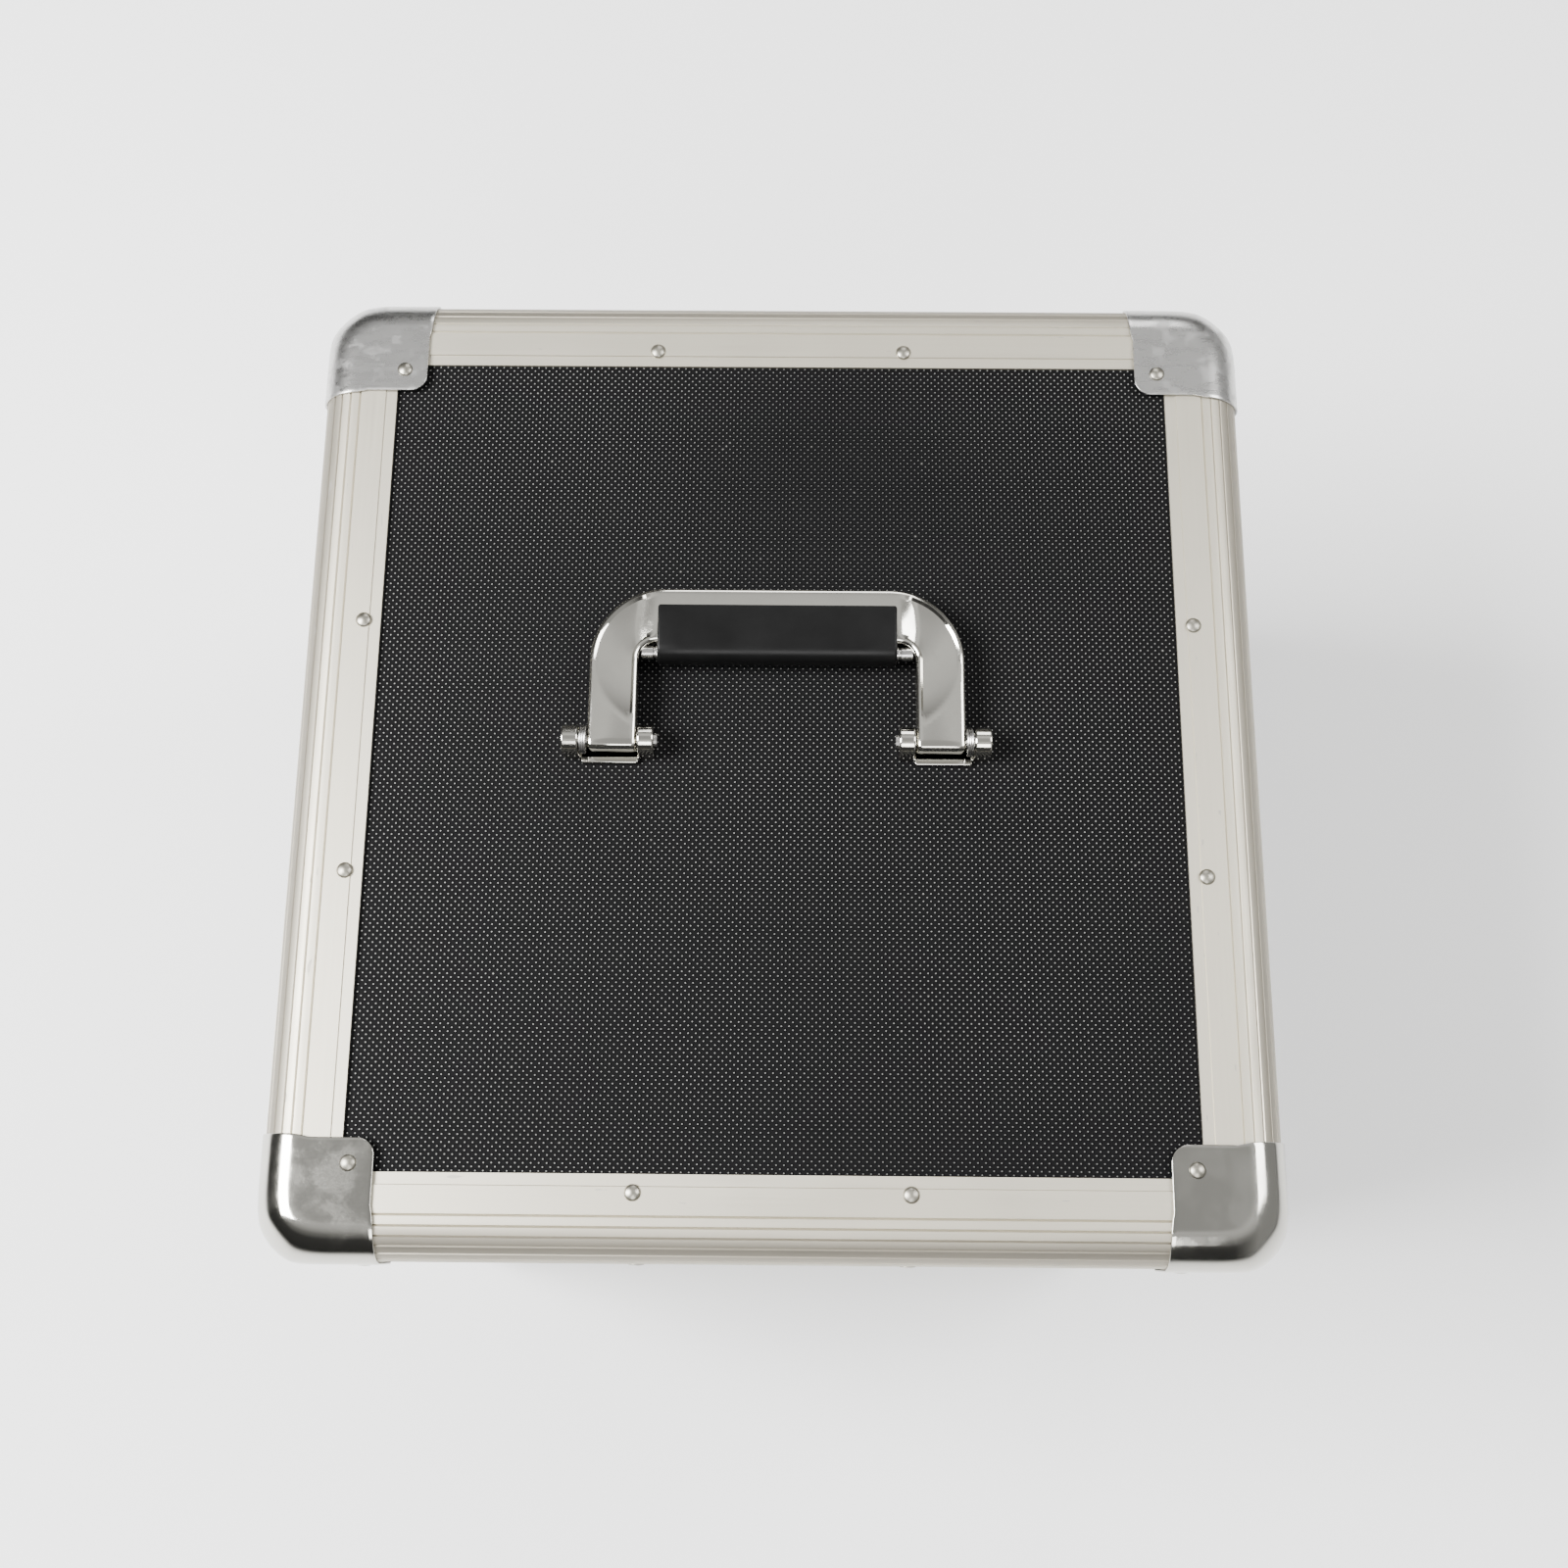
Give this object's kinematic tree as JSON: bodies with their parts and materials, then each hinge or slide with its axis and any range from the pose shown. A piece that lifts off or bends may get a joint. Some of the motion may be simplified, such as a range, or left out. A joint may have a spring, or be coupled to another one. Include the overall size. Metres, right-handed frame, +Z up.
{
  "type": "record carrying case",
  "caption": "Square flight-style record case with aluminium edges, ball corners, recessed twist latches, a hinged lid and a sprung folding handle on top.",
  "frame": {"origin": "on the ground under the feet, at the middle of the closed case's box", "axes": "+X to the right seen from the latch side, +Y towards the hinge at the back, +Z up"},
  "size_m": [0.3724, 0.3886, 0.3785],
  "materials": {
    "black_panel": "black laminate with a fine raised-point texture, semi-gloss",
    "aluminium": "satin anodised, ribbed lengthwise",
    "nickel_steel": "nickel-plated pressed steel",
    "chrome": "bright plated, lightly worn",
    "black_rubber": "matt moulded",
    "lining_foam": "thin dark foam, matt"
  },
  "bodies": {
    "base": {"base_bottom_panel": "black_panel", "base_front_panel": "black_panel", "base_back_panel": "black_panel", "base_left_panel": "black_panel", "base_right_panel": "black_panel", "base_edge_front": "aluminium", "base_edge_back": "aluminium", "base_edge_left": "aluminium", "base_edge_right": "aluminium", "base_upright_front_left": "aluminium", "base_upright_front_right": "aluminium", "base_upright_back_left": "aluminium", "base_upright_back_right": "aluminium", "base_corner_front_left": "chrome", "base_corner_front_right": "chrome", "base_corner_back_left": "chrome", "base_corner_back_right": "chrome", "base_rim": "aluminium", "base_lining": "lining_foam", "foot_front_left": "black_rubber", "foot_front_right": "black_rubber", "foot_back_left": "black_rubber", "foot_back_right": "black_rubber", "latch_dish_left": "nickel_steel", "latch_dish_right": "nickel_steel", "hinge_base_leaf": "nickel_steel", "hinge_pin": "nickel_steel"},
    "lid": {"lid_top_panel": "black_panel", "lid_front_panel": "black_panel", "lid_back_panel": "black_panel", "lid_left_panel": "black_panel", "lid_right_panel": "black_panel", "lid_edge_front": "aluminium", "lid_edge_back": "aluminium", "lid_edge_left": "aluminium", "lid_edge_right": "aluminium", "lid_upright_front_left": "aluminium", "lid_upright_front_right": "aluminium", "lid_upright_back_left": "aluminium", "lid_upright_back_right": "aluminium", "lid_corner_front_left": "chrome", "lid_corner_front_right": "chrome", "lid_corner_back_left": "chrome", "lid_corner_back_right": "chrome", "lid_rim": "aluminium", "lid_lining": "lining_foam", "latch_keeper_left": "nickel_steel", "latch_keeper_right": "nickel_steel", "hinge_lid_leaf": "nickel_steel", "handle_bracket_left": "chrome", "handle_bracket_right": "chrome", "handle_pin_left": "nickel_steel", "handle_pin_right": "nickel_steel"},
    "handle": {"handle_frame": "chrome", "handle_grip": "black_rubber"},
    "latch_cam_left": {"latch_cam_left": "chrome"},
    "latch_wing_left": {"latch_wing_left": "chrome"},
    "latch_cam_right": {"latch_cam_right": "chrome"},
    "latch_wing_right": {"latch_wing_right": "chrome"}
  },
  "joints": [
    {"name": "lid_open", "type": "hinge", "parent": "base", "child": "lid", "pos_m": [0, 0.19085, 0.268], "axis": [-1, 0, 0], "range_deg": [0, 180]},
    {"name": "handle_lift", "type": "hinge", "parent": "lid", "child": "handle", "pos_m": [0, -0.00305, 0.3717], "axis": [1, 0, 0], "range_deg": [0, 90], "stiffness_Nm_per_rad": 0.08, "springref_deg": -22.92},
    {"name": "latch_turn_left", "type": "hinge", "parent": "base", "child": "latch_cam_left", "pos_m": [-0.095, -0.19305, 0.244], "axis": [0, -1, 0], "range_deg": [0, 80]},
    {"name": "wing_fold_left", "type": "hinge", "parent": "latch_cam_left", "child": "latch_wing_left", "pos_m": [-0.095, -0.19135, 0.244], "axis": [-1, 0, 0], "range_deg": [0, 90]},
    {"name": "latch_turn_right", "type": "hinge", "parent": "base", "child": "latch_cam_right", "pos_m": [0.095, -0.19305, 0.244], "axis": [0, 1, 0], "range_deg": [0, 80]},
    {"name": "wing_fold_right", "type": "hinge", "parent": "latch_cam_right", "child": "latch_wing_right", "pos_m": [0.095, -0.19135, 0.244], "axis": [-1, 0, 0], "range_deg": [0, 90]}
  ]
}
